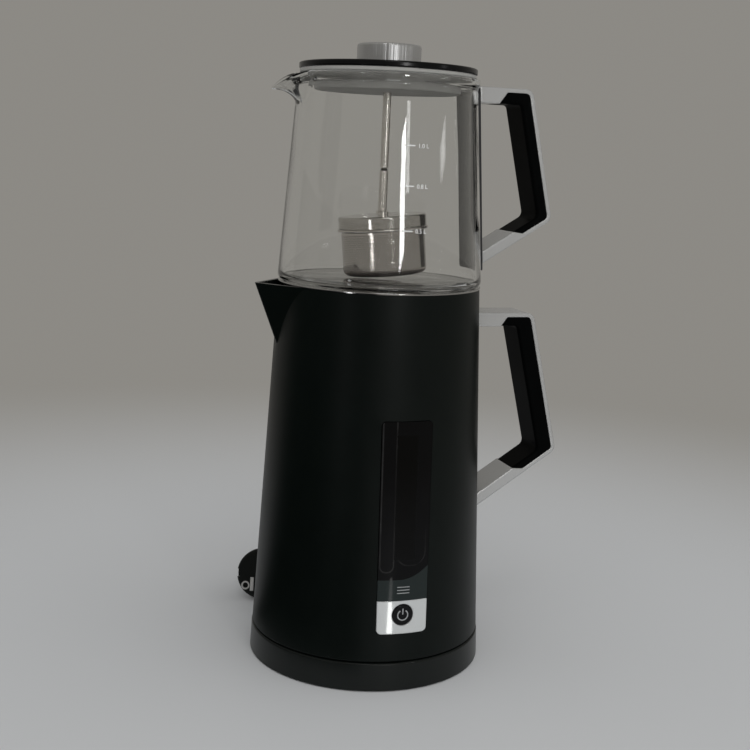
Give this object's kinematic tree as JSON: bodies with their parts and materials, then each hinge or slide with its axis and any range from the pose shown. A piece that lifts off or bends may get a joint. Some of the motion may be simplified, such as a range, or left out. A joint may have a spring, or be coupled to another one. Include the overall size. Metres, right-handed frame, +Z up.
{
  "type": "electric tea maker",
  "caption": "Two-tier electric tea maker: a kettle on a round power base, with a lidded glass teapot and hanging infuser seated in its mouth.",
  "frame": {"origin": "centre of the power base on the plane of its feet, on the turning axis", "axes": "+Z up along the turning axis; +X out through both handles, with the spouts at -X; -Y is the front, with the water window and the button"},
  "size_m": [0.2178, 0.2751, 0.4126],
  "materials": {
    "black_plastic": "satin moulded plastic",
    "black_satin": "satin black, soft reflections",
    "black_gloss": "high gloss black",
    "soft_grip": "soft black plastic",
    "silver_paint": "satin silver",
    "strap_grey": "dark grey satin",
    "rubber": "matt",
    "seal_pale": "translucent silicone",
    "cord_black": "black lead sheath",
    "wire_red": "silicone wire",
    "steel": "brushed and polished",
    "screw_steel": "plain",
    "brass": "nickel-plated contact brass",
    "heater_aluminium": "rolled",
    "knob_aluminium": "turned and satin",
    "clear_glass": "clear borosilicate",
    "clear_plastic": "clear plastic",
    "board_green": "circuit board"
  },
  "bodies": {
    "power_base": {"base_cover": "black_plastic", "base_plate": "black_plastic", "base_feet": "rubber", "base_screws": "screw_steel", "base_tower": "black_plastic", "base_contacts": "brass", "base_wires": "wire_red", "cord_relief": "black_plastic", "inner_lead": "cord_black", "cord_clamp": "black_plastic", "lead_in": "cord_black", "cord_coil": "cord_black", "lead_out": "cord_black", "cord_tie": "cord_black", "plug_body": "black_plastic", "plug_pins": "brass", "plug_earth": "brass"},
    "coupler": {"kettle_socket": "black_plastic"},
    "kettle": {"kettle_shell": "black_satin", "rim_ring": "steel", "steel_liner": "steel", "liner_seal": "seal_pale", "gauge_tube": "clear_plastic", "gauge_seals": "rubber", "heater_plate": "heater_aluminium", "heating_element": "screw_steel", "kettle_base": "black_plastic", "kettle_base_screws": "screw_steel", "thermostat": "black_plastic", "thermostat_screws": "screw_steel", "kettle_wires": "wire_red", "control_board": "board_green", "board_screws": "screw_steel", "tact_switch": "black_plastic", "status_lamp": "clear_plastic", "front_panel": "black_gloss", "button_plate": "silver_paint", "spout_filter": "steel", "kettle_handle_frame": "silver_paint", "kettle_handle_grip": "soft_grip", "kettle_handle_screws": "screw_steel"},
    "button": {"power_button": "black_gloss"},
    "teapot": {"glass_pot": "clear_glass", "handle_strap": "strap_grey", "pot_handle_frame": "silver_paint", "pot_handle_grip": "soft_grip", "pot_handle_screws": "screw_steel"},
    "lid": {"lid_cover": "black_gloss", "lid_gasket": "seal_pale", "lid_plug": "steel", "lid_knob": "knob_aluminium", "lid_nut": "screw_steel", "upper_rod": "steel", "lower_rod": "steel", "basket_cap": "steel", "cap_nut": "screw_steel"},
    "infuser": {"basket": "steel"}
  },
  "joints": [
    {"name": "lift_kettle", "type": "slide", "parent": "power_base", "child": "coupler", "axis": [0, 0, 1], "range_m": [0, 0.06]},
    {"name": "turn_kettle", "type": "hinge", "parent": "coupler", "child": "kettle", "pos_m": [0, 0, 0.03], "axis": [0, 0, 1], "continuous": true},
    {"name": "press_power", "type": "slide", "parent": "kettle", "child": "button", "axis": [0, 1, 0], "range_m": [0, 0.0006], "stiffness_N_per_m": 900},
    {"name": "lift_teapot", "type": "slide", "parent": "kettle", "child": "teapot", "axis": [0, 0, 1], "range_m": [0, 0.08]},
    {"name": "lift_lid", "type": "slide", "parent": "teapot", "child": "lid", "axis": [0, 0, 1], "range_m": [0, 0.16]},
    {"name": "twist_infuser", "type": "hinge", "parent": "lid", "child": "infuser", "pos_m": [0, 0, 0.3029], "axis": [-0.0909, 0.0304, 0.9954], "range_deg": [0, 28]}
  ]
}
